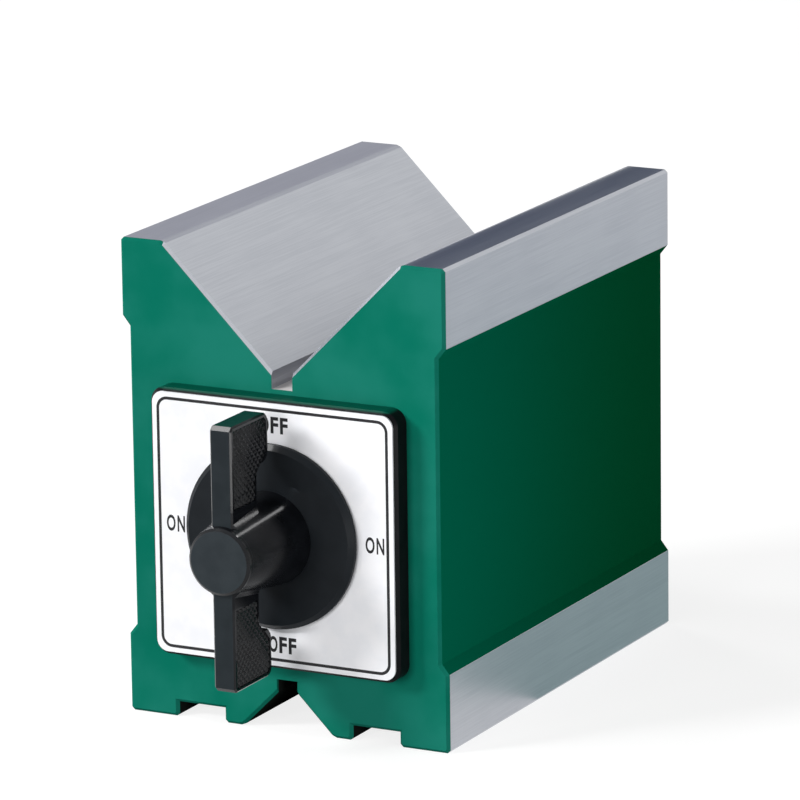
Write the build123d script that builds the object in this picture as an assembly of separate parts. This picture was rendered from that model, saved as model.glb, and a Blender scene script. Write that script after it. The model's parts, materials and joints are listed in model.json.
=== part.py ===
from build123d import *

"""A switchable magnetic V-block, 100 mm long, 70 mm wide and 95 mm high.

Two soft iron pole blocks are brazed to a pair of thin non-magnetic spacers, so that the body is one block
with a magnetic gap down its middle. A bore runs through it along its length. In the bore turns a rotor,
which holds three permanent magnets between two iron pole shoes. With the knob's bar upright the shoes face
the gap, so each pole block joins one shoe to the other and nothing is held. A quarter turn gives each pole
block a shoe of its own, and the V grooves, the lands, the feet and the side bands hold.

X is across the V groove, Y runs along it from the knob to the rear, and Z is up. The origin lies on the
plane the block stands on, under the middle of the V groove and half-way along the block. Sizes are in
millimetres.
"""

import os
from math import sqrt

# The block's outline, as a stack of heights from the plane it stands on up to its lands
body_length = 100.0
body_width = 70.0
pole_gap = 4.5
under_v_rise = 7.6
under_slot_depth = 2.8
lower_wall = 10.2
bore_diameter = 40.0
upper_wall = 7.6
slot_depth = 3.4
v_rise = 23.4
edge_break = 0.6

# Feet, and the shallow channel down each side
inner_foot_width = 4.2
foot_groove_width = 10.2
foot_groove_depth = 3.0
side_channel_depth = 1.6
side_channel_ramp = 2.0
upper_band_height = 15.5
lower_band_height = 15.6

# Switch plate, its label, and the rivets that hold it
plate_rim = 6.7
plate_thickness = 4.2
plate_corner_radius = 3.0
plate_edge_chamfer = 0.6
spigot_length = 3.0
label_margin = 0.7
label_thickness = 0.4
rivet_diameter = 4.0
rivet_length = 12.0
rivet_edge_distance = 5.2

# Bearings
front_bush_wall = 2.0
rear_bush_wall = 2.0
rear_bush_length = 6.0
washer_thickness = 0.8
washer_width = 6.0
rear_plug_thickness = 7.4
rear_plug_sunk = 0.6

# Rotor
rotor_air_gap = 0.4
cap_thickness = 6.0
front_journal_diameter = 12.0
rear_journal_diameter = 10.0
magnet_height = 16.0
magnet_edge_gap = 0.9
magnet_count = 3
tie_rod_diameter = 4.0
tie_rod_offset = 13.6
tie_rod_sunk = 0.3

# Knob
disc_diameter = 36.6
disc_thickness = 1.8
disc_edge_chamfer = 1.0
hub_base_diameter = 18.8
hub_nose_diameter = 13.0
hub_length = 19.4
hub_edge_chamfer = 0.5
hub_bar_chamfer = 0.8
bar_thickness = 4.6
bar_below_nose = 1.5
bar_end_depth = 14.7
bar_waist_depth = 10.1
bar_end_length = 7.4
bar_ramp_length = 4.6
bar_end_chamfer = 0.8
bar_back_round = 1.6
bar_edge_chamfer = 0.35
grip_start = 9.8
grip_depth = 0.3
grip_margin = 0.8
knob_spindle_diameter = 9.0
knob_spindle_length = 13.0
spindle_flat_depth = 0.6
insert_wall = 1.5
set_screw_diameter = 4.0
set_screw_height = 8.0
set_screw_socket = 2.0
set_screw_socket_depth = 1.8
set_screw_sunk = 0.4

# Clearances: between pieces that are pressed or riveted together, a shaft in its bush, the rotor and its
# washers, and the knob and the label
press_clearance = 0.02
running_clearance = 0.04
axial_clearance = 0.2
knob_clearance = 0.4

# How near an edge must lie to a named place to be taken for it
near = 0.01

# Heights of the block's features
slot_half_width = pole_gap / 2
under_v_mouth = under_v_rise + slot_half_width
under_slot_top = under_v_rise + under_slot_depth
bore_centre = under_slot_top + lower_wall + bore_diameter / 2
slot_floor = bore_centre + bore_diameter / 2 + upper_wall
v_root = slot_floor + slot_depth
body_height = v_root + v_rise
v_mouth = v_rise + slot_half_width
half_width = body_width / 2
half_length = body_length / 2
channel_wall = half_width - side_channel_depth
bore_radius = bore_diameter / 2

# Stations along Y, from the knob to the rear
front_face = -half_length
rear_face = half_length
plate_front = front_face - plate_thickness
label_front = plate_front - label_thickness
knob_back = label_front - knob_clearance
spigot_end = front_face + spigot_length
rotor_front = spigot_end + washer_thickness + axial_clearance
plug_outer_face = rear_face - rear_plug_sunk
plug_inner_face = plug_outer_face - rear_plug_thickness
rotor_rear = plug_inner_face - washer_thickness - axial_clearance
core_front = rotor_front + cap_thickness
core_rear = rotor_rear - cap_thickness
core_length = core_rear - core_front

# Sizes that follow from the pieces they belong to
plate_width = bore_diameter + 2 * plate_rim
label_width = plate_width - 2 * label_margin
bar_length = label_width
rivet_offset = plate_width / 2 - rivet_edge_distance
rotor_radius = bore_radius - rotor_air_gap
magnet_width = 2 * (sqrt(rotor_radius**2 - (magnet_height / 2) ** 2) - magnet_edge_gap)
front_journal_radius = front_journal_diameter / 2
rear_journal_radius = rear_journal_diameter / 2
front_bush_radius = front_journal_radius + running_clearance + front_bush_wall
rear_bush_radius = rear_journal_radius + running_clearance + rear_bush_wall
spindle_radius = knob_spindle_diameter / 2
spindle_flat_x = spindle_flat_depth - spindle_radius
insert_radius = spindle_radius + press_clearance + insert_wall
hub_nose = disc_thickness + hub_length
bar_front = hub_nose - bar_below_nose
bar_end_back = bar_front - bar_end_depth
bar_waist_back = bar_front - bar_waist_depth


def facing_front(y, x=0.0, z=None):
    """A plane at station y whose normal points to the knob's side, with its x to the right and its y up."""
    height = bore_centre if z is None else z
    return Plane(origin=(x, y, height), x_dir=(1, 0, 0), z_dir=(0, -1, 0))


def facing_rear(y, x=0.0, z=None):
    """A plane at station y whose normal points to the rear, with its y up."""
    height = bore_centre if z is None else z
    return Plane(origin=(x, y, height), x_dir=(-1, 0, 0), z_dir=(0, 1, 0))


def rod(radius, length):
    """A cylinder that stands on its plane."""
    return Cylinder(radius, length, align=(Align.CENTER, Align.CENTER, Align.MIN))


def sunk_rod(radius, depth):
    """A cylinder that goes down from its plane."""
    return Cylinder(radius, depth, align=(Align.CENTER, Align.CENTER, Align.MAX))


def hexagon_socket(across_flats, depth):
    """The room for a hexagon key, cut down from its plane."""
    return extrude(RegularPolygon(across_flats / 2, 6, major_radius=False), -depth)


def edges_at(shape, y):
    """The edges of a shape that lie in the plane across Y at one station."""
    return shape.edges().filter_by_position(Axis.Y, y - near, y + near)


def rivet():
    """A drive rivet, ground off flush with its plane."""
    return sunk_rod(rivet_diameter / 2, rivet_length)


def rivet_hole():
    """The hole for one rivet, a press clearance larger all round and under its tip."""
    return sunk_rod(rivet_diameter / 2 + press_clearance, rivet_length + press_clearance)


def rivet_planes():
    """The four corners of the switch plate, where its rivets go in."""
    corners = [(side * rivet_offset, end * rivet_offset) for side in (-1, 1) for end in (-1, 1)]
    return [facing_front(plate_front, x, bore_centre + rise) for x, rise in corners]


def bore(radius, y_front, y_rear):
    """A cylinder about the rotor's axis between two stations."""
    return facing_rear(y_front) * rod(radius, y_rear - y_front)


def tie_rod_hole(side):
    """The hole right through the rotor for the upper tie rod, side 1, or the lower one, side -1."""
    radius = tie_rod_diameter / 2 + press_clearance
    return Pos(0, 0, side * tie_rod_offset) * bore(radius, rotor_front, rotor_rear)


def right_pole_block():
    """The iron half on the right: foot, side bands, land and V flank, with half the bore inside."""
    groove_inner = under_v_mouth + inner_foot_width
    groove_outer = groove_inner + foot_groove_width
    channel_low = lower_band_height + side_channel_ramp
    channel_high = body_height - upper_band_height - side_channel_ramp
    outline = [
        (slot_half_width, under_v_rise),
        (under_v_mouth, 0),
        (groove_inner, 0),
        (groove_inner, foot_groove_depth),
        (groove_outer, foot_groove_depth),
        (groove_outer, 0),
        (half_width, 0),
        (half_width, lower_band_height),
        (channel_wall, channel_low),
        (channel_wall, channel_high),
        (half_width, body_height - upper_band_height),
        (half_width, body_height),
        (v_mouth, body_height),
        (slot_half_width, v_root),
    ]
    section = facing_rear(front_face, 0, 0) * make_face(Polyline([(-x, z) for x, z in outline], close=True))
    block = extrude(section, body_length, dir=(0, 1, 0))
    block -= bore(bore_radius, front_face, rear_face)

    def at_corner(edge, x, z):
        middle = edge.center()
        return abs(middle.X - x) < near and abs(middle.Z - z) < near

    ground_corners = [(half_width, 0), (half_width, body_height), (v_mouth, body_height), (under_v_mouth, 0)]
    ground_corners += [(groove_inner, 0), (groove_outer, 0)]
    along = block.edges().filter_by(Axis.Y)
    block = chamfer([e for e in along if any(at_corner(e, x, z) for x, z in ground_corners)], edge_break)

    ends = [*edges_at(block, front_face), *edges_at(block, rear_face)]
    block = chamfer([e for e in ends if not on_gap_or_bore(e)], edge_break)
    for plane in rivet_planes():
        if plane.origin.X > 0:
            block -= plane * rivet_hole()
    return block


def on_gap_or_bore(edge):
    """True for an end edge that lies on the face brazed to the spacers or on the bore."""
    return abs(edge.center().X - slot_half_width) < near or edge.geom_type == GeomType.CIRCLE


def spacer(z_low, z_high):
    """A strip brazed into the gap between the pole blocks, hollowed by the bore."""
    strip = Box(pole_gap, body_length, z_high - z_low, align=(Align.CENTER, Align.CENTER, Align.MIN))
    return Pos(0, 0, z_low) * strip - bore(bore_radius, front_face, rear_face)


def switch_plate():
    """The square plate that closes the bore and carries the front bush."""
    face = facing_front(front_face)
    slab = extrude(face * RectangleRounded(plate_width, plate_width, plate_corner_radius), plate_thickness)
    slab = chamfer(edges_at(slab, plate_front), plate_edge_chamfer)
    slab += bore(bore_radius - press_clearance, front_face, spigot_end)
    slab -= bore(front_bush_radius + press_clearance, plate_front, spigot_end)
    for plane in rivet_planes():
        slab -= plane * rivet_hole()
    return slab


def label_panel():
    """The thin printed panel on the plate's face."""
    corner = plate_corner_radius - label_margin
    face = facing_front(plate_front) * RectangleRounded(label_width, label_width, corner)
    panel = extrude(face, label_thickness)
    return panel - bore(front_bush_radius + press_clearance, label_front, plate_front)


def bush(radius, journal_radius, y_front, y_rear):
    """A plain bearing bush between two stations."""
    return bore(radius, y_front, y_rear) - bore(journal_radius + running_clearance, y_front, y_rear)


def thrust_washer(journal_radius, y_front):
    """A plain washer that the rotor's end runs on."""
    hole_radius = journal_radius + axial_clearance
    y_rear = y_front + washer_thickness
    return bore(hole_radius + washer_width, y_front, y_rear) - bore(hole_radius, y_front, y_rear)


def rear_plug():
    """The plug pressed into the rear of the bore, just under its edge, with a blind seat for a bush."""
    plug = bore(bore_radius - press_clearance, plug_inner_face, plug_outer_face)
    seat_end = plug_inner_face + rear_bush_length + press_clearance
    return plug - bore(rear_bush_radius + press_clearance, plug_inner_face, seat_end)


def rotor_front_cap():
    """The front end cap, turned in one piece with the journal and the flatted spindle that drives it."""
    cap = bore(rotor_radius, rotor_front, core_front) - tie_rod_hole(1) - tie_rod_hole(-1)
    spindle_end = knob_back - knob_spindle_length
    spindle = bore(spindle_radius, spindle_end, knob_back)
    past_flat = (Align.MAX, Align.MIN, Align.CENTER)
    flat = Box(knob_spindle_diameter, knob_spindle_length, knob_spindle_diameter, align=past_flat)
    spindle -= Pos(spindle_flat_x, spindle_end, bore_centre) * flat
    return cap + bore(front_journal_radius, knob_back, rotor_front) + spindle


def rotor_rear_cap():
    """The rear end cap with the journal that turns in the plug."""
    cap = bore(rotor_radius, core_rear, rotor_rear) - tie_rod_hole(1) - tie_rod_hole(-1)
    journal_end = plug_inner_face + rear_bush_length - axial_clearance
    return cap + bore(rear_journal_radius, rotor_rear, journal_end)


def pole_shoe(side):
    """One iron segment of the rotor, above the magnets for side 1 and below them for side -1."""
    stand = Align.MIN if side > 0 else Align.MAX
    block = Box(magnet_width, core_length, rotor_radius, align=(Align.CENTER, Align.MIN, stand))
    shoe = Pos(0, core_front, bore_centre + side * magnet_height / 2) * block
    shoe &= bore(rotor_radius, core_front, core_rear)
    return shoe - tie_rod_hole(side)


def rotor_tie_rods():
    """The two rods, riveted over in the caps, that hold the rotor together through the shoes."""
    rod_on_axis = bore(tie_rod_diameter / 2, rotor_front + tie_rod_sunk, rotor_rear - tie_rod_sunk)
    return Compound([Pos(0, 0, side * tie_rod_offset) * rod_on_axis for side in (-1, 1)])


def magnet_block(index):
    """One of the magnets between the pole shoes, counted from the knob."""
    pitch = core_length / magnet_count
    block = Box(magnet_width, pitch, magnet_height, align=(Align.CENTER, Align.MIN, Align.CENTER))
    return Pos(0, core_front + index * pitch, bore_centre) * block


def bar_outline():
    """Half of the bar from its side: straight front, deep end, and a back that ramps in to a slim waist."""
    end = bar_length / 2
    ramp_start = end - bar_end_length
    ramp_end = ramp_start - bar_ramp_length
    ramp_middle = ((ramp_start + ramp_end) / 2, (bar_end_back + bar_waist_back) / 2)
    round_start = (end, bar_end_back + bar_back_round)
    round_end = (end - bar_back_round, bar_end_back)
    edges = [
        Line((0, bar_front), (end - bar_end_chamfer, bar_front)),
        Line((end - bar_end_chamfer, bar_front), (end, bar_front - bar_end_chamfer)),
        Line((end, bar_front - bar_end_chamfer), round_start),
        TangentArc(round_start, round_end, tangent=(0, -1)),
        Line(round_end, (ramp_start, bar_end_back)),
        TangentArc((ramp_start, bar_end_back), ramp_middle, tangent=(-1, 0)),
        TangentArc((ramp_end, bar_waist_back), ramp_middle, tangent=(1, 0)),
        Line((ramp_end, bar_waist_back), (0, bar_waist_back)),
        Line((0, bar_waist_back), (0, bar_front)),
    ]
    return make_face(Wire(edges))


def grip_outline():
    """The grip panel from its side: it follows the bar's outline, a margin inside it, from the hub outwards."""
    front = bar_front - grip_margin
    end = bar_length / 2 - grip_margin
    ramp_start = bar_length / 2 - bar_end_length
    corners = [
        (grip_start, front),
        (end, front),
        (end, bar_end_back + bar_back_round),
        (end - grip_margin, bar_end_back + grip_margin),
        (ramp_start, bar_end_back + grip_margin),
        (ramp_start - bar_ramp_length, bar_waist_back + grip_margin),
        (grip_start, bar_waist_back + grip_margin),
    ]
    return make_face(Polyline(corners, close=True))


def knob_bar():
    """The bar across the knob, with a shallow panel on each side of each end for the knurled grip."""
    side_view = Plane(origin=(0, 0, 0), x_dir=(0, 1, 0), z_dir=(1, 0, 0))
    half = extrude(side_view * bar_outline(), bar_thickness / 2, both=True)
    bar = half + half.mirror(Plane.XZ)
    bar = chamfer([e for e in bar.edges() if is_on_bar_side(e)], bar_edge_chamfer)
    pocket_floor = bar_thickness / 2 - grip_depth
    pocket = Pos(pocket_floor, 0, 0) * extrude(side_view * grip_outline(), bar_thickness)
    pockets = [pocket, pocket.mirror(Plane.XZ)]
    return bar - pockets - [shape.mirror(Plane.YZ) for shape in pockets]


def knob():
    """The moulded knob: bevelled disc, tapering hub and bar, modelled on its own axis, then put in place."""
    disc = rod(disc_diameter / 2, disc_thickness)
    disc = chamfer(disc.edges().sort_by(Axis.Z)[-1], disc_edge_chamfer)
    on_its_end = (Align.CENTER, Align.CENTER, Align.MIN)
    hub = Cone(hub_base_diameter / 2, hub_nose_diameter / 2, hub_length, align=on_its_end)
    hub = chamfer(hub.edges().sort_by(Axis.Z)[-1], hub_edge_chamfer)
    body = disc + Pos(0, 0, disc_thickness) * hub
    body += knob_bar()
    hub_on_bar = body.edges().filter_by(GeomType.HYPERBOLA)
    body = chamfer([e for e in hub_on_bar if is_on_bar_side(e)], hub_bar_chamfer)
    body -= rod(insert_radius + press_clearance, knob_spindle_length + press_clearance)
    body -= set_screw_axis() * sunk_rod(set_screw_diameter / 2 + press_clearance, hub_base_diameter)
    return facing_front(knob_back) * body


def is_on_bar_side(edge):
    """True for an edge that lies on one of the bar's two flat sides."""
    return abs(abs(edge.center().X) - bar_thickness / 2) < near


def set_screw_axis():
    """On the knob's own axes, a plane that faces the spindle's flat, so that a rod sinks out to the left."""
    return Plane(origin=(spindle_flat_x, 0, set_screw_height), x_dir=(0, 1, 0), z_dir=(1, 0, 0))


def knob_insert():
    """The metal sleeve moulded into the knob, which takes the spindle and the set screw."""
    spindle_hole = rod(spindle_radius + press_clearance, knob_spindle_length)
    sleeve = rod(insert_radius, knob_spindle_length) - spindle_hole
    hole = sunk_rod(set_screw_diameter / 2 + press_clearance, hub_base_diameter)
    return facing_front(knob_back) * (sleeve - set_screw_axis() * hole)


def knob_set_screw():
    """The socket set screw that bears on the spindle's flat, just under the hub's surface."""
    taper = (hub_base_diameter - hub_nose_diameter) / 2 / hub_length
    hub_radius = hub_base_diameter / 2 - taper * (set_screw_height + set_screw_diameter / 2 - disc_thickness)
    length = hub_radius - set_screw_sunk + spindle_flat_x
    screw = sunk_rod(set_screw_diameter / 2, length)
    screw -= Pos(0, 0, -length) * hexagon_socket(set_screw_socket, -set_screw_socket_depth)
    return facing_front(knob_back) * (set_screw_axis() * screw)


def build_nodes():
    """Every separate piece, by the name of its node."""
    right_block = right_pole_block()
    plate_rivets = [plane * rivet() for plane in rivet_planes()]
    rear_bush_end = plug_inner_face + rear_bush_length
    nodes = {
        "right_pole_block": right_block,
        "left_pole_block": right_block.mirror(Plane.YZ),
        "upper_spacer": spacer(bore_centre, slot_floor),
        "lower_spacer": spacer(under_slot_top, bore_centre),
        "switch_plate": switch_plate(),
        "switch_plate_rivets": Compound(plate_rivets),
        "label_panel": label_panel(),
        "front_bush": bush(front_bush_radius, front_journal_radius, plate_front, spigot_end),
        "front_thrust_washer": thrust_washer(front_journal_radius, spigot_end),
        "rear_plug": rear_plug(),
        "rear_bush": bush(rear_bush_radius, rear_journal_radius, plug_inner_face, rear_bush_end),
        "rear_thrust_washer": thrust_washer(rear_journal_radius, plug_inner_face - washer_thickness),
        "rotor_front_cap": rotor_front_cap(),
        "rotor_rear_cap": rotor_rear_cap(),
        "pole_shoe_upper": pole_shoe(1),
        "pole_shoe_lower": pole_shoe(-1),
        "rotor_tie_rods": rotor_tie_rods(),
        "knob": knob(),
        "knob_insert": knob_insert(),
        "knob_set_screw": knob_set_screw(),
    }
    for index in range(magnet_count):
        nodes[f"magnet_block_{index + 1}"] = magnet_block(index)
    return nodes


os.makedirs("parts", exist_ok=True)
for name, shape in build_nodes().items():
    export_step(shape, f"parts/{name}.step")
print("built", round(body_height, 2), "mm high")
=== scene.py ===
# %% [markdown]
# # A magnetic V-block, dressed for its picture
#
# The block is two soft iron halves round a switchable magnet. Its ends and side channels are painted
# green, and the faces that touch work or a table are ground bare: the V, the lands, the side bands and
# the soles. On the front are a black plate, a white printed label and a black moulded knob.
#
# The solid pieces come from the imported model. They are already in place, in metres, with X across the V,
# Y from the knob to the rear and Z up. This lesson gives each of them its finish, and adds what is too
# fine for the solids: the print on the label and the knurl on the knob.

# %% Load the solid pieces
import json
import math

import bmesh
import bpy
from mathutils import Matrix, Vector


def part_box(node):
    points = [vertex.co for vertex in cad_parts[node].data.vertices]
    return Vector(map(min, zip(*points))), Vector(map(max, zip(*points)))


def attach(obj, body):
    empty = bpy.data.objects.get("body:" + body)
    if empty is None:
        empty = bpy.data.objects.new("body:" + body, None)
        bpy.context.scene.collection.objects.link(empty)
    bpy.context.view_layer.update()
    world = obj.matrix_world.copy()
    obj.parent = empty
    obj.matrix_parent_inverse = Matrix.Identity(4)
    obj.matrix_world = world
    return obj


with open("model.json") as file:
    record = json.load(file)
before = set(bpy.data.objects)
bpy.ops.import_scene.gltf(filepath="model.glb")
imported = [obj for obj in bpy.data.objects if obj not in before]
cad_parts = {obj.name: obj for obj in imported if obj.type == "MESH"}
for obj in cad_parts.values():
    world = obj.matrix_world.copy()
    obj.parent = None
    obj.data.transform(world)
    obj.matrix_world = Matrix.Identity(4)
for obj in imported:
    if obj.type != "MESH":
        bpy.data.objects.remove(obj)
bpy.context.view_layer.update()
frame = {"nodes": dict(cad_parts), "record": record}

MM = 0.001
nodes = frame["nodes"]

# %% [markdown]
# ## Where things are
#
# Most finishes change with place: paint stops at the edge of a ground face, and lathe marks run round an
# axis. The places are read from the pieces' own boxes and from the stated faces of the part, so that they
# stay right if a size changes. Each stated face has a point at its middle, which gives the height of a
# band or the line of the V.

# %% Places on the block
_, block_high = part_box("right_pole_block")
label_low, label_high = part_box("label_panel")
_, plate_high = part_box("switch_plate")
shaft_low, shaft_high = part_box("rotor_front_cap")
faces = {mount["name"]: Vector(mount["pos_m"]) for mount in frame["record"]["mounts"]}

half_width = block_high.x
half_length = block_high.y
top = block_high.z
axis_height = (shaft_low.z + shaft_high.z) / 2
label_height = (label_low.z + label_high.z) / 2
upper_band_bottom = 2 * faces["right_upper_band"].z - top
lower_band_top = 2 * faces["right_lower_band"].z
v_mouth = 2 * faces["right_land"].x - half_width
print("bands end at", round(upper_band_bottom / MM, 2), round(lower_band_top / MM, 2))
print("half the mouth of the V", round(v_mouth / MM, 2))

# %% [markdown]
# ## Arithmetic on a material
#
# A finish is arithmetic on fields: where am I, how far is the edge, how rough is it here. The shader
# editor does that with Math nodes, and a dozen of them are hard to read. So one small class wraps an
# output socket, and Python's own operators add the Math node that does the same. `1 - mask` then reads as
# it does on paper. A second class holds the tree that the nodes go into. Its `add` makes any node: the
# settings first, because some of them change which sockets the node has, and then the inputs, each a
# value or another field. A third class is a whole material, which knows how to put itself on the solid
# pieces.

# %% A field
class Field:
    """An output socket that can be added, multiplied and compared like a number."""

    def __init__(self, tree, socket):
        self.tree = tree
        self.socket = socket

    def __add__(self, other):
        return self.tree.math("ADD", self, other)

    def __radd__(self, other):
        return self.tree.math("ADD", other, self)

    def __sub__(self, other):
        return self.tree.math("SUBTRACT", self, other)

    def __rsub__(self, other):
        return self.tree.math("SUBTRACT", other, self)

    def __mul__(self, other):
        return self.tree.math("MULTIPLY", self, other)

    def __rmul__(self, other):
        return self.tree.math("MULTIPLY", other, self)

    def __gt__(self, other):
        return self.tree.math("GREATER_THAN", self, other)

    def __lt__(self, other):
        return self.tree.math("LESS_THAN", self, other)

    def __abs__(self):
        return self.tree.math("ABSOLUTE", self)


print("fields can be added, taken away, multiplied and compared")

# %% The tree that the nodes go into
class Tree:
    """A node tree and the few ways in which this lesson grows it."""

    def __init__(self, node_tree):
        self.nodes = node_tree.nodes
        self.links = node_tree.links

    def plug(self, socket, value):
        """Give a socket a field or a plain value."""
        if isinstance(value, Field):
            self.links.new(value.socket, socket)
        else:
            socket.default_value = value

    def add(self, kind, settings=None, inputs=None, output=0):
        """Make any node: its settings first, then the values or fields of its inputs."""
        node = self.nodes.new(kind)
        for name, value in (settings or {}).items():
            setattr(node, name, value)
        for name, value in (inputs or {}).items():
            self.plug(node.inputs[name], value)
        return Field(self, node.outputs[output])

    def math(self, operation, *values):
        """One Math node."""
        return self.add("ShaderNodeMath", {"operation": operation}, dict(enumerate(values)))

    def either(self, a, b):
        """The larger of two masks."""
        return self.math("MAXIMUM", a, b)

    def nearest(self, a, b):
        """The smaller of two distances."""
        return self.math("MINIMUM", a, b)

    def blend(self, mask, a, b):
        """Colour a where the mask is 0 and colour b where it is 1."""
        return self.add("ShaderNodeMix", {"data_type": "RGBA"}, {0: mask, 6: a, 7: b}, output=2)

    def shades(self, pattern, dark, light):
        """Two close shades of one colour, as a noise pattern mixes them."""
        return self.blend(self.fade(pattern, 0.3, 0.7), dark, light)

    def fade(self, value, start, end):
        """0 up to start and 1 from end on, with a soft step between."""
        settings = {"interpolation_type": "SMOOTHSTEP"}
        return self.add("ShaderNodeMapRange", settings, {"Value": value, "From Min": start, "From Max": end})

    def place(self):
        """The point of the object that is being shaded, which is its place in the part's own frame."""
        return self.add("ShaderNodeTexCoord", output="Object")

    def apart(self, vector):
        """The three parts of a vector."""
        first = self.add("ShaderNodeSeparateXYZ", None, {0: vector})
        outputs = first.socket.node.outputs
        return [Field(self, outputs[name]) for name in "XYZ"]

    def noise(self, place, repeats, detail=2.0):
        """Noise with so many cells to the metre: one number, or one for each axis."""
        if isinstance(repeats, float):
            repeats = (repeats,) * 3
        scaled = self.add("ShaderNodeVectorMath", {"operation": "MULTIPLY"}, {0: place, 1: repeats})
        return self.add("ShaderNodeTexNoise", None, {"Vector": scaled, "Scale": 1.0, "Detail": detail})

    def bump(self, height, depth, strength=1.0):
        """Turns a field between 0 and 1 into dents of that depth."""
        return self.add("ShaderNodeBump", None, {"Height": height, "Distance": depth, "Strength": strength})


print("tree ready")

# %% A finish, and colours as they look on a screen
class Finish(Tree):
    """A material with one principled shader."""

    def __init__(self, name, **sockets):
        self.material = bpy.data.materials.new(name)
        self.material.use_nodes = True
        super().__init__(self.material.node_tree)
        self.shader = self.nodes["Principled BSDF"]
        self.set(**sockets)

    def set(self, **sockets):
        """Base_Color=... and so on: a low line in a name stands for the space in the socket's."""
        for name, value in sockets.items():
            self.plug(self.shader.inputs[name.replace("_", " ")], value)

    def cover(self, *names):
        """Put the finish on solid pieces in place of what they came with."""
        for name in names:
            nodes[name].data.materials.clear()
            nodes[name].data.materials.append(self.material)
        print(self.material.name, "on", ", ".join(names))


def rgba(red, green, blue):
    """A colour as it looks on a screen, 0 to 255, as the linear values that the shader takes."""
    parts = [c / 255 for c in (red, green, blue)]
    return (*[c / 12.92 if c < 0.04045 else ((c + 0.055) / 1.055) ** 2.4 for c in parts], 1.0)


print("finish ready, mid grey is", round(rgba(128, 128, 128)[0], 3))

# %% [markdown]
# ## Green paint
#
# On the bench the whole block is painted first, and then a surface grinder takes the working faces bare
# again. So one finish holds both, and a mask says where the paint is left. A mask painted by hand would
# do it, but the faces are flat and lie at known places, so place alone tells paint from metal.
#
# Paint is left on the two ends, in the side channels, and on the broken edges between the ends and the
# lands, bands and feet. The edges of the V are ground with it and are bare. The paint drifts a little in
# tone from place to place and has a fine orange peel. In the channels it is a deeper green that stands in
# for their shade: painted shade, darker and less blue towards the rear.

# %% Green paint
PAINT_DARK, PAINT_LIGHT = rgba(9, 107, 88), rgba(27, 117, 101)
# Painted shade in the side channels: a deeper green, darker and less blue towards the rear
CHANNEL_SHADE_FRONT, CHANNEL_SHADE_REAR = rgba(2, 114, 86), rgba(2, 109, 64)
PAINT_DENT = 0.01 * MM


def green_paint(tree, place):
    """The paint's colour, its roughness and its orange peel."""
    mottle = tree.noise(place, 160.0, detail=4.0)
    drift = tree.noise(place, 55.0)
    peel = tree.noise(place, 900.0)
    colour = tree.blend(tree.fade(0.7 * drift + 0.3 * mottle, 0.34, 0.66), PAINT_DARK, PAINT_LIGHT)
    return colour, 0.36 + 0.12 * mottle, peel


print("dents of", PAINT_DENT / MM, "mm in the paint")

# %% Where paint is left
EDGE_BREAK = 0.6 * MM
CHANNEL_WALL = 2.2 * MM
SKIN = 0.05 * MM


def paint_left(tree, x, y, z):
    """Masks of all painted places, and of the side channels among them."""
    on_end = abs(y) > half_length - SKIN
    broken_edge = abs(y) > half_length - EDGE_BREAK - SKIN
    beside_v = tree.either(z < lower_band_top, abs(x) > v_mouth)
    between_bands = (z > lower_band_top + SKIN) * (z < upper_band_bottom - SKIN)
    channel = (abs(x) > half_width - CHANNEL_WALL) * between_bands
    return tree.either(tree.either(on_end, broken_edge * beside_v), channel), channel


print("channel from", round((half_width - CHANNEL_WALL) / MM, 2), "mm outwards")

# %% [markdown]
# ## Ground iron
#
# The grinding wheel runs along Y and leaves fine lines. Noise that is drawn out along Y, and fine across it,
# gives those lines on every ground face at once, whichever way the face leans. Separate materials for each
# face would let the lines stop at every edge. The grooves in the base are out of the wheel's reach. They
# face down towards the floor, and their shade is painted in as a dark, non-metallic colour.

# %% The block's finish
GROOVES_REACH = 25 * MM
GROOVES_TOP = axis_height / 2
# Painted shade for the downward-facing grooves of the base
GROOVE_SHADE = rgba(30, 34, 32)


def ground_lines(tree, place):
    """Fine lines and broader streaks along Y, about a middle of 0.5."""
    fine = tree.noise(place, (5200.0, 60.0, 5200.0), detail=3.0)
    broad = tree.noise(place, (700.0, 12.0, 700.0))
    return 0.75 * fine + 0.25 * broad


def block_finish(name, bare_colour, dull_colour, metal_share=1.0):
    """Green paint where it is left, painted shade in the grooves of the base, and ground metal elsewhere."""
    finish = Finish(name, Specular_IOR_Level=0.0)
    place = finish.place()
    x, y, z = finish.apart(place)
    painted, channel = paint_left(finish, x, y, z)
    bare = 1 - painted
    base_groove_shade = (z > SKIN) * (z < GROOVES_TOP) * (abs(x) < GROOVES_REACH) * bare

    lines = ground_lines(finish, place)
    cloud = finish.noise(place, 60.0, detail=3.0)
    metal = finish.blend(finish.fade(0.8 * lines + 0.2 * cloud, 0.38, 0.62), dull_colour, bare_colour)
    metal = finish.blend(base_groove_shade, metal, GROOVE_SHADE)

    paint, paint_roughness, peel = green_paint(finish, place)
    # The channels' painted shade, fading from the front colour to the darker rear one
    channel_shade = finish.blend(finish.fade(y, -half_length, half_length), CHANNEL_SHADE_FRONT, CHANNEL_SHADE_REAR)
    paint = finish.blend(channel * (abs(y) < half_length - EDGE_BREAK), paint, channel_shade)
    finish.set(
        Base_Color=finish.blend(painted, metal, paint),
        Metallic=metal_share * bare * (1 - base_groove_shade),
        Roughness=painted * paint_roughness + bare * (0.3 + 0.12 * lines),
        Normal=finish.bump(painted * peel + bare * lines, PAINT_DENT, 0.5),
    )
    return finish


iron = block_finish("ground_and_painted", rgba(185, 188, 194), rgba(175, 178, 185))
iron.cover("left_pole_block", "right_pole_block")
spacer = block_finish("spacer_and_paint", rgba(236, 232, 230), rgba(222, 218, 216), 0.3)
spacer.cover("upper_spacer", "lower_spacer")

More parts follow.
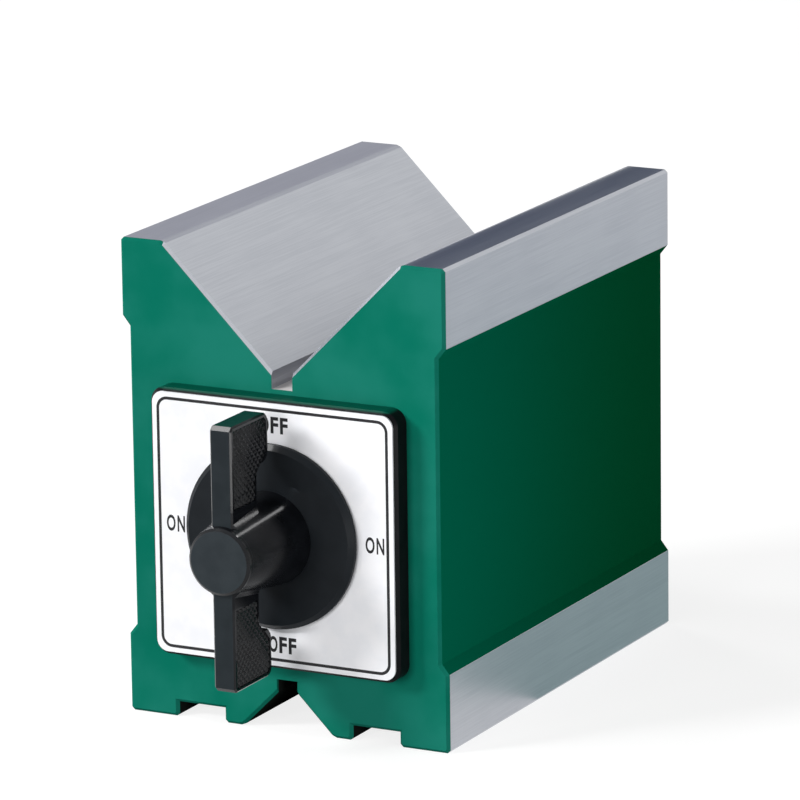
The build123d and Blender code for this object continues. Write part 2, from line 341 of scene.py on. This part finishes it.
# %% [markdown]
# ## Plate, label and rear plug
#
# The plate is steel with a satin black enamel. Its upper side carries a painted reflection of the block's
# green paint above it. The label is a printed sheet of white plastic film: almost smooth, a little glossy,
# with the faintest grain. The plug in the rear of the bore was in place when the block was painted, so it
# has the same paint all over, and the paint's drift runs on across it because both read the same places.

# %% Enamel, film and painted plug
GREEN_REFLECTION_BAND = 0.5 * MM


def enamel(name, dark, light, grain, roughness, shine=0.2):
    """A painted or moulded surface: two close shades in soft patches, and a fine grain in its gloss."""
    finish = Finish(name, Specular_IOR_Level=shine)
    place = finish.place()
    pores = finish.noise(place, grain)
    finish.set(
        Base_Color=finish.shades(finish.noise(place, 260.0, detail=3.0), dark, light),
        Roughness=roughness + 0.1 * (pores - 0.5),
        Normal=finish.bump(pores, 0.015 * MM, 0.5),
    )
    return finish


def plate_finish():
    """Black enamel, with a painted reflection of the green paint on the upper side of the plate."""
    finish = enamel("plate_enamel", rgba(14, 15, 17), rgba(20, 21, 23), 1400.0, 0.3, 0.04)
    height = finish.apart(finish.place())[2]
    reflected_green = finish.fade(height, plate_high.z - GREEN_REFLECTION_BAND, plate_high.z - GREEN_REFLECTION_BAND / 5)
    black = Field(finish, finish.shader.inputs["Base Color"].links[0].from_socket)
    # Painted reflection: the block's green on the plate's upper side
    finish.set(Base_Color=finish.blend(reflected_green, black, rgba(2, 78, 62)))
    return finish


def plug_finish():
    """The block's own paint, all over."""
    finish = Finish("plug_paint", Specular_IOR_Level=0.0)
    colour, roughness, peel = green_paint(finish, finish.place())
    finish.set(Base_Color=colour, Roughness=roughness, Normal=finish.bump(peel, PAINT_DENT, 0.5))
    return finish


plate_finish().cover("switch_plate")
enamel("label_film", rgba(240, 241, 245), rgba(246, 246, 249), 2600.0, 0.35).cover("label_panel")
plug_finish().cover("rear_plug")

# %% [markdown]
# ## Metal that came off a lathe
#
# The bushes, caps, washers, pole shoes, tie rods and the knob's sleeve are turned. The tool leaves rings
# about the rotor's axis, so here the noise reads the distance from that axis and the station along it, in
# place of X and Z. The rivets and the set screw are bought parts of the same plated steel as the rods,
# and share their finish.

# %% Turned and cast metal
def turned(name, colour, shade, roughness):
    """Bright metal with lathe rings about the rotor's axis."""
    finish = Finish(name, Metallic=1.0)
    x, y, z = finish.apart(finish.place())
    rise = z - axis_height
    radius = finish.math("SQRT", x * x + rise * rise)
    ring_place = finish.add("ShaderNodeCombineXYZ", None, {"X": radius, "Y": y})
    rings = finish.noise(ring_place, (5200.0, 5200.0, 1.0))
    finish.set(
        Base_Color=finish.shades(rings, shade, colour),
        Roughness=roughness + 0.12 * rings,
        Normal=finish.bump(rings, 0.01 * MM, 0.4),
    )
    return finish


bronze = turned("bronze", rgba(196, 160, 112), rgba(170, 132, 86), 0.3)
bronze.cover("front_bush", "rear_bush", "front_thrust_washer", "rear_thrust_washer")
brass = turned("brass", rgba(214, 188, 122), rgba(190, 162, 96), 0.25)
brass.cover("rotor_front_cap", "rotor_rear_cap", "knob_insert")
steel = turned("plated_steel", rgba(190, 190, 194), rgba(150, 150, 156), 0.3)
steel.cover("switch_plate_rivets", "rotor_tie_rods", "knob_set_screw")
soft_iron = turned("soft_iron", rgba(170, 172, 176), rgba(138, 140, 146), 0.35)
soft_iron.cover("pole_shoe_upper", "pole_shoe_lower")
magnet = enamel("magnet_alloy", rgba(88, 88, 92), rgba(112, 112, 116), 500.0, 0.6)
magnet.cover("magnet_block_1", "magnet_block_2", "magnet_block_3")

# %% [markdown]
# ## The moulded knob
#
# The knob is a hard moulding, nearly black. Its sides are polished and lightly glossy on the bar and round
# the nose, and its front faces are rough from a spark-eroded mould. Those front faces carry a painted
# reflection that makes them greyer, weaker on the bar. The disc is darker still, with painted shade for the
# shadow that the bar and hub throw on it. Separate materials would need the mesh cut up, so one finish tells
# the faces apart by their station along Y. Mouldings are never quite even: slight flow marks show in the
# colour and more in the gloss.

# %% Places on the knob
knob_low, knob_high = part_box("knob")
DISC_THICKNESS = 1.8 * MM
BAR_BELOW_NOSE = 1.5 * MM
BAR_HALF = 2.3 * MM
HUB_REACH = 9.5 * MM
NOSE_RIM = 0.9 * MM
SEAM = 0.1 * MM
bar_front = knob_low.y + BAR_BELOW_NOSE
disc_front = knob_high.y - DISC_THICKNESS
print("front of bar and disc", round(bar_front / MM, 2), round(disc_front / MM, 2))

# %% Knob moulding
# Front faces: a painted reflection makes them greyer than the polished black; the disc is darker for painted
# shade
NOSE_SHEEN_GREY = rgba(37, 43, 47), rgba(43, 49, 53)
BAR_SHEEN_GREY = rgba(26, 32, 36), rgba(32, 38, 42)
DISC_SHEEN_IN_SHADE = rgba(19, 23, 27), rgba(23, 27, 31)
POLISHED_BLACK = rgba(14, 16, 19), rgba(20, 22, 26)


def knob_finish_of(name):
    """Polished black sides, and rough front faces greyed by a painted reflection, darker on the disc for
    painted shade.
    """
    finish = Finish(name, Specular_IOR_Level=0.1)
    place = finish.place()
    x, y, z = finish.apart(place)
    flow = finish.noise(place, 260.0, detail=3.0)
    pores = finish.noise(place, 1500.0)
    planes = [abs(y - station) for station in (knob_low.y, bar_front, disc_front)]
    in_front = finish.nearest(planes[0], finish.nearest(planes[1], planes[2])) < 0.03 * MM
    on_disc = y > disc_front - SEAM
    on_bar = (abs(x) < BAR_HALF + SEAM) * (abs(z - axis_height) > HUB_REACH)
    on_nose = y < knob_low.y + NOSE_RIM
    nose, bar, disc, polished = [
        finish.shades(flow, *pair) for pair in (NOSE_SHEEN_GREY, BAR_SHEEN_GREY, DISC_SHEEN_IN_SHADE, POLISHED_BLACK)
    ]
    body = finish.blend(in_front, polished, finish.blend(on_nose, bar, nose))
    finish.set(
        Base_Color=finish.blend(on_disc, body, disc),
        Roughness=0.2 + 0.25 * finish.either(in_front, on_disc) + 0.08 * (flow - 0.5),
        Coat_Weight=0.24 * (1 - in_front) * finish.either(on_bar, on_nose),
        Coat_Roughness=0.08,
        Normal=finish.bump(pores, 0.012 * MM, 0.4),
    )
    return finish


knob_finish = knob_finish_of("knob_moulding")
knob_finish.cover("knob")

# %% [markdown]
# ## Print on the label
#
# The label has a thin line round its edge and a word at each end of the knob's travel: off above and
# below, on at both sides. Ink could be part of the label's material, but letters are outlines, and
# Blender's text already has them. So each letter is text made into a mesh, a fiftieth of a millimetre
# thick, and a word is a row of letters set on the film, where each letter's width can be chosen by
# itself.
#
# The line is a square frame with round corners. It starts as one flat face. A bevel rounds its corners,
# an inset draws the line's inner edge, the middle is thrown away, and an extrusion gives the ring its
# thickness.

# %% Ink, and how flat pieces are set on the label
INK = 0.02 * MM
ink = enamel("label_ink", rgba(30, 30, 32), rgba(38, 38, 40), 2600.0, 0.45)
label_face = Matrix((
    (1, 0, 0, 0),
    (0, 0, -1, label_low.y + INK / 2),
    (0, 1, 0, label_height),
    (0, 0, 0, 1),
))


def keep(name, mesh, material, body):
    """Make a finished mesh a piece of the scene that rides on a body."""
    piece = bpy.data.objects.new(name, mesh)
    bpy.context.scene.collection.objects.link(piece)
    mesh.materials.append(material)
    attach(piece, body)
    print(name, len(mesh.polygons), "faces")
    return piece


print("label face at y", round(label_low.y / MM, 2), "mm")

# %% The line round the label
LINE_INSET = 0.95 * MM
LINE_CORNER = 2.3 * MM
LINE_WIDTH = 0.6 * MM


def ring_mesh(name, half, corner, width, thickness):
    """A flat square ring with round corners, standing on its own XY plane."""
    shape = bmesh.new()
    bmesh.ops.create_grid(shape, x_segments=1, y_segments=1, size=half)
    bmesh.ops.bevel(
        shape, geom=shape.verts[:], offset=corner, affect="VERTICES", segments=8, profile=0.5, material=-1
    )
    bmesh.ops.inset_region(
        shape, faces=shape.faces[:], thickness=width, use_boundary=True, use_even_offset=True
    )
    middle = max(shape.faces, key=lambda face: face.calc_area())
    bmesh.ops.delete(shape, geom=[middle], context="FACES")
    wall = bmesh.ops.extrude_face_region(shape, geom=shape.faces[:], use_keep_orig=True)
    moved = [item for item in wall["geom"] if isinstance(item, bmesh.types.BMVert)]
    bmesh.ops.translate(shape, verts=moved, vec=(0, 0, thickness))
    bmesh.ops.recalc_face_normals(shape, faces=shape.faces[:])
    shape.transform(label_face)
    mesh = bpy.data.meshes.new(name)
    shape.to_mesh(mesh)
    shape.free()
    return mesh


line_mesh = ring_mesh("label_line", label_high.x - LINE_INSET, LINE_CORNER, LINE_WIDTH, INK)
keep("label_line", line_mesh, ink.material, "block")

# %% The words
WORD_HEIGHT = 3.25 * MM
LETTER_WIDTHS = {"O": 1.0, "N": 0.85, "F": 0.92}
LETTER_GAP = 0.22


def letter_mesh(letter, width, weight):
    """One letter as a mesh of a given width, with its middle at the origin."""
    curve = bpy.data.curves.new(letter, "FONT")
    curve.body = letter
    curve.offset = weight
    curve.extrude = 0.5
    curve.resolution_u = 4
    typed = bpy.data.objects.new(letter, curve)
    mesh = bpy.data.meshes.new_from_object(typed)
    bpy.data.objects.remove(typed)
    low, high = [Vector(map(pick, *[v.co for v in mesh.vertices])) for pick in (min, max)]
    size = high - low
    middle = (low + high) / 2
    to_size = Matrix.Diagonal((width / size.x, WORD_HEIGHT / size.y, INK / size.z, 1))
    mesh.transform(to_size @ Matrix.Translation(-middle))
    return mesh


def word_mesh(name, text, x, z, width, weight):
    """A word of a given width, with its middle at a point of the label."""
    widths = [LETTER_WIDTHS[letter] for letter in text]
    unit = width / (sum(widths) + LETTER_GAP * (len(text) - 1))
    word = bmesh.new()
    edge = x - width / 2
    for letter, share in zip(text, widths):
        typed = letter_mesh(letter, share * unit, weight)
        centre = (edge + share * unit / 2, z - label_height, INK / 2)
        typed.transform(Matrix.Translation(centre))
        word.from_mesh(typed)
        edge += (share + LETTER_GAP) * unit
    word.transform(label_face)
    mesh = bpy.data.meshes.new(name)
    word.to_mesh(mesh)
    word.free()
    return mesh


# The text, its middle across and up and its width in mm, and how much bolder its strokes are
words = {
    "word_on_left": ("ON", -21.3, 40.6, 4.0, 0.024),
    "word_on_right": ("ON", 22.0, 41.0, 4.0, 0.024),
    "word_off_upper": ("OFF", 0.65, 62.4, 5.9, 0.032),
    "word_off_lower": ("OFF", 1.7, 18.9, 5.9, 0.034),
}
for name, (text, x, z, width, weight) in words.items():
    mesh = word_mesh(name, text, x * MM, z * MM, width * MM, weight)
    keep(name, mesh, ink.material, "block")

# %% [markdown]
# ## Knurl on the grips
#
# Each end of the knob's bar has a shallow panel on both sides, moulded with a diamond knurl for the
# fingers. It has to be real geometry, because its points catch the light one by one.
#
# A panel is a thin slab. Two families of slanting cuts divide its outer face into diamonds, and a poke
# raises the middle of each diamond to a point. The panel fills the pocket in the bar, and its points stop
# just short of the bar's flat side.

# %% Four knurled panels
POCKET_DEPTH = 0.3 * MM
KNURL_PITCH = 1.05 * MM
KNURL_SKIN = 0.05 * MM
POINT_GAP = 0.01 * MM

# The pocket's outline from its side: how far out from the axis, and how far behind the bar's front, in mm
GRIP_OUTLINE = (
    (9.8, 0.8), (25.2, 0.8), (25.2, 13.1), (24.4, 13.9), (18.6, 13.9), (14.0, 9.3), (9.8, 9.3),
)


def knurled_panel(name, side, end):
    """A slab on one side, -1 or 1, of the upper end, 1, or the lower end, -1, of the bar."""
    shape = bmesh.new()
    corners = [Vector((0.0, bar_front + behind * MM, out * MM)) for out, behind in GRIP_OUTLINE]
    back = shape.faces.new([shape.verts.new(corner) for corner in corners])
    raised = bmesh.ops.extrude_face_region(shape, geom=[back], use_keep_orig=True)
    moved = [item for item in raised["geom"] if isinstance(item, bmesh.types.BMVert)]
    bmesh.ops.translate(shape, verts=moved, vec=(KNURL_SKIN, 0, 0))
    bmesh.ops.recalc_face_normals(shape, faces=shape.faces[:])
    middle = sum(corners, Vector()) / len(corners)
    reach = max((corner - middle).length for corner in corners)
    steps = int(reach / KNURL_PITCH) + 1
    for slant in (-1, 1):
        across = Vector((0.0, 1.0, slant)).normalized()
        for step in range(-steps, steps + 1):
            outer = [face for face in shape.faces if face.normal.x > 0.9]
            geometry = outer + list({edge for face in outer for edge in face.edges})
            cut = middle + across * step * KNURL_PITCH
            bmesh.ops.bisect_plane(shape, geom=geometry, plane_co=cut, plane_no=across)
    outer = [face for face in shape.faces if face.normal.x > 0.9]
    bmesh.ops.poke(shape, faces=outer, offset=POCKET_DEPTH - KNURL_SKIN - POINT_GAP)
    bmesh.ops.translate(shape, verts=shape.verts[:], vec=(BAR_HALF - POCKET_DEPTH, 0, 0))
    bmesh.ops.scale(shape, vec=(side, 1, end), verts=shape.verts[:])
    bmesh.ops.translate(shape, verts=shape.verts[:], vec=(0, 0, axis_height))
    bmesh.ops.recalc_face_normals(shape, faces=shape.faces[:])
    mesh = bpy.data.meshes.new(name)
    shape.to_mesh(mesh)
    shape.free()
    return mesh


for side, side_name in ((-1, "left"), (1, "right")):
    for end, end_name in ((1, "upper"), (-1, "lower")):
        name = f"grip_{side_name}_{end_name}"
        keep(name, knurled_panel(name, side, end), knob_finish.material, "rotor")

# %% [markdown]
# ## The floor and the white round it
#
# The block was photographed on white. The camera sees a white world, and metal sees it too, because bare
# steel takes its colour from what stands round it. Everything else is lit by less: if the world lit the
# paint at full strength, the shaded side could never be dark. Light Path tells the rays apart.
#
# The floor is pale and matt and keeps the block's shadow. A little light of its own, seen only by the
# camera and by reflections, lifts the rest of it to white.

# %% World and floor
WORLD_FILL = 0.08
FLOOR_GLOW = 0.82
FLOOR_HALF = 4.0
FLOOR_DROP = 0.05 * MM


def seen(tree):
    """1 for rays from the camera, from a glossy surface or through glass."""
    outputs = tree.add("ShaderNodeLightPath").socket.node.outputs
    names = ("Is Camera Ray", "Is Glossy Ray", "Is Transmission Ray")
    camera, glossy, through = [Field(tree, outputs[name]) for name in names]
    return tree.either(tree.either(camera, glossy), through)


world = bpy.data.worlds.new("white_room")
world.use_nodes = True
bpy.context.scene.world = world
room = Tree(world.node_tree)
backdrop = room.nodes["Background"]
room.plug(backdrop.inputs["Color"], (1, 1, 1, 1))
room.plug(backdrop.inputs["Strength"], WORLD_FILL + (1 - WORLD_FILL) * seen(room))

floor_shape = bmesh.new()
bmesh.ops.create_grid(floor_shape, x_segments=1, y_segments=1, size=FLOOR_HALF)
bmesh.ops.translate(floor_shape, verts=floor_shape.verts[:], vec=(0, 0, -FLOOR_DROP))
floor_mesh = bpy.data.meshes.new("floor")
floor_shape.to_mesh(floor_mesh)
floor_shape.free()
floor = bpy.data.objects.new("floor", floor_mesh)
bpy.context.scene.collection.objects.link(floor)
pale = Finish("pale_floor", Base_Color=(0.3, 0.3, 0.3, 1.0), Roughness=0.9, Specular_IOR_Level=0.0)
pale.set(Emission_Color=(1, 1, 1, 1), Emission_Strength=FLOOR_GLOW * seen(pale))
floor_mesh.materials.append(pale.material)
print("floor and world ready")

# %% [markdown]
# ## Lamps
#
# A large soft key lamp stands in front, to the left and above, so that the front is bright, the right
# side is in shade and the knob throws its shadow to the right. A wider one low in front softens that
# shadow, and a small one high on the left lights the tops. On the right a very small lamp close to the
# floor keeps the near end of the shaded side from going black. The last one stands behind on the left,
# for the views from there.

# %% Lamps
def lamp(name, place, aim, size, power):
    """A square soft lamp at a place, turned to a point."""
    light = bpy.data.lights.new(name, "AREA")
    light.size = size
    light.energy = power
    holder = bpy.data.objects.new(name, light)
    bpy.context.scene.collection.objects.link(holder)
    holder.location = place
    holder.rotation_euler = (Vector(aim) - Vector(place)).to_track_quat("-Z", "Y").to_euler()
    print(name, power, "W")


middle = (0, 0, top / 2)
near_side = (half_width, -0.02, 0.045)
lamp("key", (-1.18, -1.27, 1.0), middle, size=0.45, power=26.0)
lamp("front", (-0.3, -1.9, 0.45), middle, size=0.8, power=17.5)
lamp("overhead", (-0.68, -0.36, 1.34), middle, size=0.3, power=5.0)
lamp("fill", (0.19, -0.14, 0.03), near_side, size=0.08, power=0.155)
lamp("rear", (-1.6, 0.9, 0.5), middle, size=0.6, power=14.0)

# %% [markdown]
# ## Cards for the bare metal
#
# Bare steel shows what stands round it, and in a white room it would be white all over. A photographer puts
# cards of grey where the metal should look darker, just out of the picture. Two stand close beside the
# lands, which show them. Two lie on the floor to the right and are painted shade: they stand in for the
# block's shadow on the floor, as the side bands reflect it. The last is a thin bright strip by the knob, for
# the long highlight on its hub. The camera doesn't see them, and they neither throw a shadow nor light the
# block. A lamp in their place would do both.

# %% Cards
def card(name, place, facing, along, width, length, tone):
    """A sheet of one tone that only reflections of its face show; its length runs along a direction."""
    shape = bmesh.new()
    bmesh.ops.create_grid(shape, x_segments=1, y_segments=1, size=0.5)
    bmesh.ops.scale(shape, vec=(width, length, 1.0), verts=shape.verts[:])
    mesh = bpy.data.meshes.new(name)
    shape.to_mesh(mesh)
    shape.free()
    paper = Finish(name, Base_Color=(0, 0, 0, 1), Roughness=1.0, Specular_IOR_Level=0.0)
    seen_from_behind = paper.add("ShaderNodeNewGeometry", output="Backfacing")
    paper.set(Emission_Color=(*tone, 1.0), Emission_Strength=1 - seen_from_behind)
    mesh.materials.append(paper.material)
    sheet = bpy.data.objects.new(name, mesh)
    bpy.context.scene.collection.objects.link(sheet)
    run = Vector(along).normalized()
    face = (Vector(facing) - run * run.dot(Vector(facing))).normalized()
    turn = Matrix((run.cross(face), run, face)).transposed().to_4x4()
    sheet.matrix_world = Matrix.Translation(place) @ turn
    sheet.visible_camera = False
    sheet.visible_shadow = False
    sheet.visible_diffuse = False
    print(name, "at", [round(c / MM, 1) for c in place], "mm")


X_WAY, Y_WAY, Z_WAY = (1, 0, 0), (0, 1, 0), (0, 0, 1)
card("left_land_card", (-0.0365, 0.04, top + 0.0205), X_WAY, Y_WAY, 0.04, 0.19, tone=(0.46, 0.46, 0.52))
card("right_land_card", (0.0258, 0.04, top + 0.0085), X_WAY, Y_WAY, 0.016, 0.19, tone=(0.01, 0.03, 0.085))
# Painted shade: the block's shadow on the floor, as the side bands reflect it
card("lower_band_shadow_card", (0.0937, 0.145, 0.0), Z_WAY, Y_WAY, 0.1165, 0.31, tone=(0.36, 0.48, 0.48))
card("upper_band_shadow_card", (0.215, 0.33, 0.0), Z_WAY, Y_WAY, 0.12, 0.3, tone=(0.68, 0.72, 0.79))

# The strip's place is above and in front of the hub, and it runs along the hub's taper
STRIP_PLACE = (0.0054, -0.0641, 0.0502)
STRIP_FACING = (-0.2, -0.69, -0.69)
HUB_TAPER = (0.085, 0.989, 0.121)
card("hub_strip", STRIP_PLACE, STRIP_FACING, HUB_TAPER, 0.0008, 0.018, tone=(12, 12, 12))

# %% [markdown]
# ## Camera
#
# The photograph was taken from the front right and a little above, from some way off, so its lens is
# long. The camera's turn, tilt and distance were found by matching the corners of the block.

# %% Camera
TURN = math.radians(27.475)
TILT = math.radians(14.0196)
ROLL = math.radians(-0.7496)
DISTANCE = 1245.99 * MM
OFFSET_RIGHT = -0.6375 * MM
OFFSET_UP = 7.1488 * MM
PICTURE = 800
FOCAL_PIXELS = 6271.46
SENSOR_WIDTH = 36.0

back = Vector((
    math.sin(TURN) * math.cos(TILT),
    -math.cos(TURN) * math.cos(TILT),
    math.sin(TILT),
))
level_right = Vector((math.cos(TURN), math.sin(TURN), 0.0))
level_up = back.cross(level_right)
right = level_right * math.cos(ROLL) + level_up * math.sin(ROLL)
up = level_up * math.cos(ROLL) - level_right * math.sin(ROLL)
eye = Vector(middle) + right * OFFSET_RIGHT + up * OFFSET_UP + back * DISTANCE

lens = bpy.data.cameras.new("camera")
lens.sensor_width = SENSOR_WIDTH
lens.lens = FOCAL_PIXELS / PICTURE * lens.sensor_width
camera = bpy.data.objects.new("camera", lens)
bpy.context.scene.collection.objects.link(camera)
axes = Matrix((right, up, back)).transposed().to_4x4()
camera.matrix_world = Matrix.Translation(eye) @ axes
bpy.context.scene.camera = camera
bpy.context.scene.view_settings.view_transform = "Standard"
print("lens", round(lens.lens, 1), "mm, from", [round(c, 3) for c in eye])
